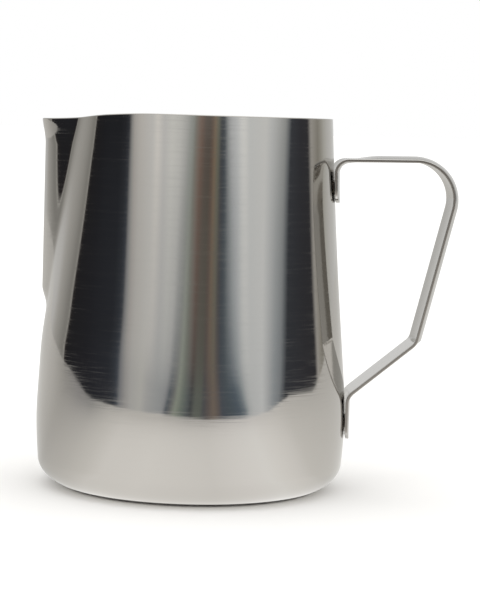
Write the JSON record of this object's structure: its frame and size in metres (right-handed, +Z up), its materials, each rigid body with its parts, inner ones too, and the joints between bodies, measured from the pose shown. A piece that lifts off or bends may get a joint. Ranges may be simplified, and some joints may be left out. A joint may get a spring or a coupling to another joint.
{
  "type": "milk frothing pitcher",
  "caption": "Open steel pitcher for steaming milk: deep drawn tapered cup with a pressed pouring spout and a welded bent-strap handle.",
  "frame": {"origin": "centre of the cup's flat base, on the surface that the pitcher stands on", "axes": "+Z up, -X towards the pouring spout, +X towards the handle, and Y across the pitcher, which is its plane of symmetry's normal"},
  "size_m": [0.1211, 0.0898, 0.108],
  "materials": {
    "polished_steel": "mirror polished stainless steel with fine marks round the jug, satin inside",
    "satin_steel": "satin stainless steel, brushed along the strap",
    "weld_steel": "dull fused steel of a spot weld"
  },
  "bodies": {
    "root": {"pitcher_body": "polished_steel", "handle_strap": "satin_steel", "upper_weld_left": "weld_steel", "upper_weld_right": "weld_steel", "lower_weld_left": "weld_steel", "lower_weld_right": "weld_steel"}
  },
  "joints": []
}
